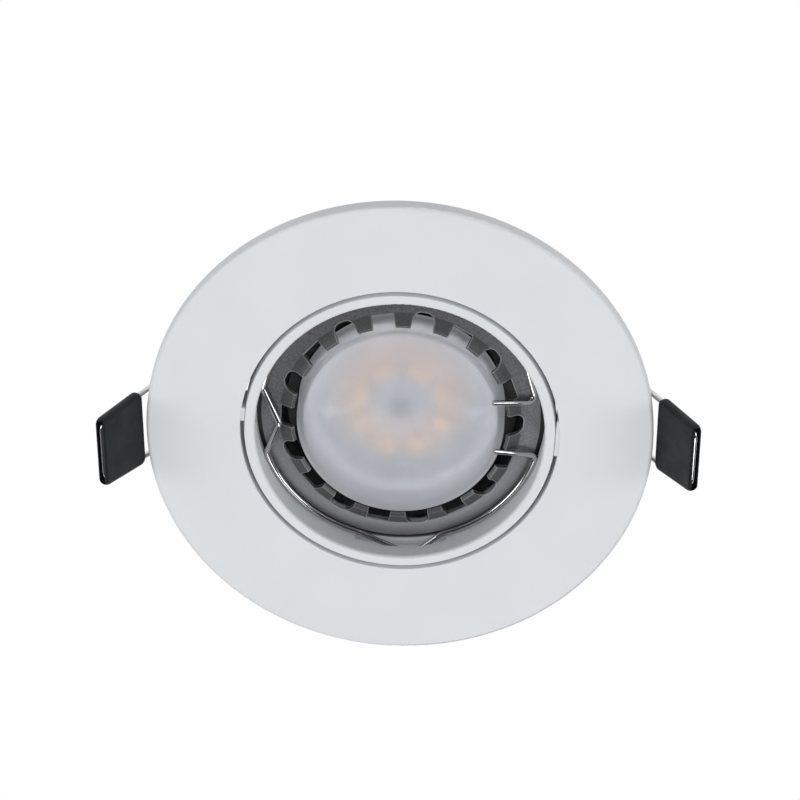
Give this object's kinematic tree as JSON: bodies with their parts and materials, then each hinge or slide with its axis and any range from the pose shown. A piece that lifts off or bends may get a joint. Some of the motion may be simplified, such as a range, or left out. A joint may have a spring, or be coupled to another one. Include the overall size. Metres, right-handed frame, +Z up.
{
  "type": "recessed led spotlight",
  "caption": "White round recessed ceiling spotlight with a tilting ring, sprung wire clips with black sleeves, and a pin-based LED bulb held in by a bent wire.",
  "frame": {"origin": "centre of the flange's flat back, where it seats against the ceiling", "axes": "+Z up into the ceiling, so the light face points down; +X along the line through the two clips"},
  "size_m": [0.1063, 0.09, 0.0684],
  "materials": {
    "white_enamel": "matt white powder coat",
    "pin_steel": "bright steel",
    "plated_wire": "bright plated spring wire",
    "black_sleeve": "satin black sleeve",
    "dark_casting": "dark grey satin coated casting",
    "frosted_lens": "frosted, light-scattering",
    "board_white": "white solder resist on metal",
    "led_phosphor": "warm phosphor",
    "pale_base": "pale moulded insulator",
    "contact_nickel": "nickel plated",
    "driver_laminate": "green laminate",
    "component_black": "black sleeve"
  },
  "bodies": {
    "trim": {"trim_ring": "white_enamel", "left_spring_pin": "pin_steel", "right_spring_pin": "pin_steel"},
    "head": {"tilt_ring": "white_enamel", "left_pivot_pin": "pin_steel", "right_pivot_pin": "pin_steel", "retaining_ring": "plated_wire", "lamp_housing": "dark_casting", "lens": "frosted_lens", "led_board": "board_white", "led_chips": "led_phosphor", "led_board_screws": "pin_steel", "lamp_base": "pale_base", "left_contact_pin": "contact_nickel", "right_contact_pin": "contact_nickel", "driver_board": "driver_laminate", "driver_capacitor": "component_black", "driver_inductor": "component_black"},
    "left_clip": {"left_spring": "plated_wire", "left_spring_sleeve": "black_sleeve"},
    "right_clip": {"right_spring": "plated_wire", "right_spring_sleeve": "black_sleeve"}
  },
  "joints": [
    {"name": "ring_tilt", "type": "hinge", "parent": "trim", "child": "head", "pos_m": [0, 0, -0.0001], "axis": [0.9969, 0.0785, 0], "range_deg": [-30, 30]},
    {"name": "left_clip_fold", "type": "hinge", "parent": "trim", "child": "left_clip", "pos_m": [-0.0336, 0, 0.01316], "axis": [0, 1, 0], "range_deg": [0, 140], "stiffness_Nm_per_rad": 0.03, "springref_deg": -34.38},
    {"name": "right_clip_fold", "type": "hinge", "parent": "trim", "child": "right_clip", "pos_m": [0.0336, 0, 0.01316], "axis": [0, -1, 0], "range_deg": [0, 140], "stiffness_Nm_per_rad": 0.03, "springref_deg": -34.38}
  ]
}
